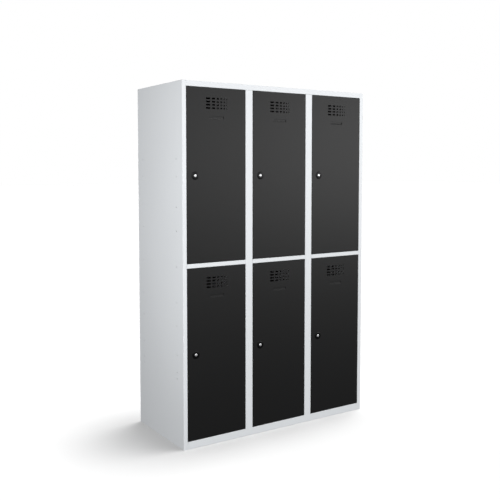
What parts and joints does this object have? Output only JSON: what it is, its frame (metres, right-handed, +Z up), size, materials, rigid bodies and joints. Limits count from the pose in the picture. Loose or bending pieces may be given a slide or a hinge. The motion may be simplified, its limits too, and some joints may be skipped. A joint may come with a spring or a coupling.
{
  "type": "locker cabinet",
  "caption": "Free-standing steel locker cabinet with stacked compartments in equal columns, each behind a flush hinged door with vent slots, a label field and a cam lock.",
  "frame": {"origin": "centre of the base on the floor, halfway across the width and halfway between the lock faces and the back", "axes": "+Z up, the doors face -Y, +X to the right seen from the front"},
  "size_m": [1.144, 0.503, 1.8],
  "materials": {
    "body": "satin light grey powder coat",
    "door": "satin anthracite powder coat",
    "zinc_steel": "zinc-plated steel",
    "lock_collar": "black moulded plastic",
    "lock_plug": "polished chrome plate"
  },
  "bodies": {
    "cabinet": {"side_panel_left": "body", "side_panel_right": "body", "back_panel": "body", "top_panel": "body", "bottom_panel": "body", "partition_left": "body", "partition_right": "body", "shelf_left": "body", "shelf_middle": "body", "shelf_right": "body", "coat_rail_lower_left": "zinc_steel", "coat_rail_upper_left": "zinc_steel", "coat_rail_lower_middle": "zinc_steel", "coat_rail_upper_middle": "zinc_steel", "coat_rail_lower_right": "zinc_steel", "coat_rail_upper_right": "zinc_steel"},
    "door_lower_left": {"door_lower_left": "door", "door_stiffener_lower_left": "door", "hinge_pin_top_lower_left": "zinc_steel", "hinge_pin_bottom_lower_left": "zinc_steel", "lock_housing_lower_left": "lock_collar"},
    "lock_lower_left": {"lock_plug_lower_left": "lock_plug", "lock_cam_lower_left": "zinc_steel"},
    "door_upper_left": {"door_upper_left": "door", "door_stiffener_upper_left": "door", "hinge_pin_top_upper_left": "zinc_steel", "hinge_pin_bottom_upper_left": "zinc_steel", "lock_housing_upper_left": "lock_collar"},
    "lock_upper_left": {"lock_plug_upper_left": "lock_plug", "lock_cam_upper_left": "zinc_steel"},
    "door_lower_middle": {"door_lower_middle": "door", "door_stiffener_lower_middle": "door", "hinge_pin_top_lower_middle": "zinc_steel", "hinge_pin_bottom_lower_middle": "zinc_steel", "lock_housing_lower_middle": "lock_collar"},
    "lock_lower_middle": {"lock_plug_lower_middle": "lock_plug", "lock_cam_lower_middle": "zinc_steel"},
    "door_upper_middle": {"door_upper_middle": "door", "door_stiffener_upper_middle": "door", "hinge_pin_top_upper_middle": "zinc_steel", "hinge_pin_bottom_upper_middle": "zinc_steel", "lock_housing_upper_middle": "lock_collar"},
    "lock_upper_middle": {"lock_plug_upper_middle": "lock_plug", "lock_cam_upper_middle": "zinc_steel"},
    "door_lower_right": {"door_lower_right": "door", "door_stiffener_lower_right": "door", "hinge_pin_top_lower_right": "zinc_steel", "hinge_pin_bottom_lower_right": "zinc_steel", "lock_housing_lower_right": "lock_collar"},
    "lock_lower_right": {"lock_plug_lower_right": "lock_plug", "lock_cam_lower_right": "zinc_steel"},
    "door_upper_right": {"door_upper_right": "door", "door_stiffener_upper_right": "door", "hinge_pin_top_upper_right": "zinc_steel", "hinge_pin_bottom_upper_right": "zinc_steel", "lock_housing_upper_right": "lock_collar"},
    "lock_upper_right": {"lock_plug_upper_right": "lock_plug", "lock_cam_upper_right": "zinc_steel"}
  },
  "joints": [
    {"name": "door_hinge_lower_left", "type": "hinge", "parent": "cabinet", "child": "door_lower_left", "pos_m": [-0.21883, -0.2445, 0.46575], "axis": [0, 0, 1], "range_deg": [0, 110]},
    {"name": "lock_turn_lower_left", "type": "hinge", "parent": "door_lower_left", "child": "lock_lower_left", "pos_m": [-0.5025, -0.2485, 0.46575], "axis": [0, 1, 0], "range_deg": [0, 90]},
    {"name": "door_hinge_upper_left", "type": "hinge", "parent": "cabinet", "child": "door_upper_left", "pos_m": [-0.21883, -0.2445, 1.34425], "axis": [0, 0, 1], "range_deg": [0, 110]},
    {"name": "lock_turn_upper_left", "type": "hinge", "parent": "door_upper_left", "child": "lock_upper_left", "pos_m": [-0.5025, -0.2485, 1.34425], "axis": [0, 1, 0], "range_deg": [0, 90]},
    {"name": "door_hinge_lower_middle", "type": "hinge", "parent": "cabinet", "child": "door_lower_middle", "pos_m": [0.16183, -0.2445, 0.46575], "axis": [0, 0, 1], "range_deg": [0, 110]},
    {"name": "lock_turn_lower_middle", "type": "hinge", "parent": "door_lower_middle", "child": "lock_lower_middle", "pos_m": [-0.12183, -0.2485, 0.46575], "axis": [0, 1, 0], "range_deg": [0, 90]},
    {"name": "door_hinge_upper_middle", "type": "hinge", "parent": "cabinet", "child": "door_upper_middle", "pos_m": [0.16183, -0.2445, 1.34425], "axis": [0, 0, 1], "range_deg": [0, 110]},
    {"name": "lock_turn_upper_middle", "type": "hinge", "parent": "door_upper_middle", "child": "lock_upper_middle", "pos_m": [-0.12183, -0.2485, 1.34425], "axis": [0, 1, 0], "range_deg": [0, 90]},
    {"name": "door_hinge_lower_right", "type": "hinge", "parent": "cabinet", "child": "door_lower_right", "pos_m": [0.5425, -0.2445, 0.46575], "axis": [0, 0, 1], "range_deg": [0, 110]},
    {"name": "lock_turn_lower_right", "type": "hinge", "parent": "door_lower_right", "child": "lock_lower_right", "pos_m": [0.25883, -0.2485, 0.46575], "axis": [0, 1, 0], "range_deg": [0, 90]},
    {"name": "door_hinge_upper_right", "type": "hinge", "parent": "cabinet", "child": "door_upper_right", "pos_m": [0.5425, -0.2445, 1.34425], "axis": [0, 0, 1], "range_deg": [0, 110]},
    {"name": "lock_turn_upper_right", "type": "hinge", "parent": "door_upper_right", "child": "lock_upper_right", "pos_m": [0.25883, -0.2485, 1.34425], "axis": [0, 1, 0], "range_deg": [0, 90]}
  ]
}
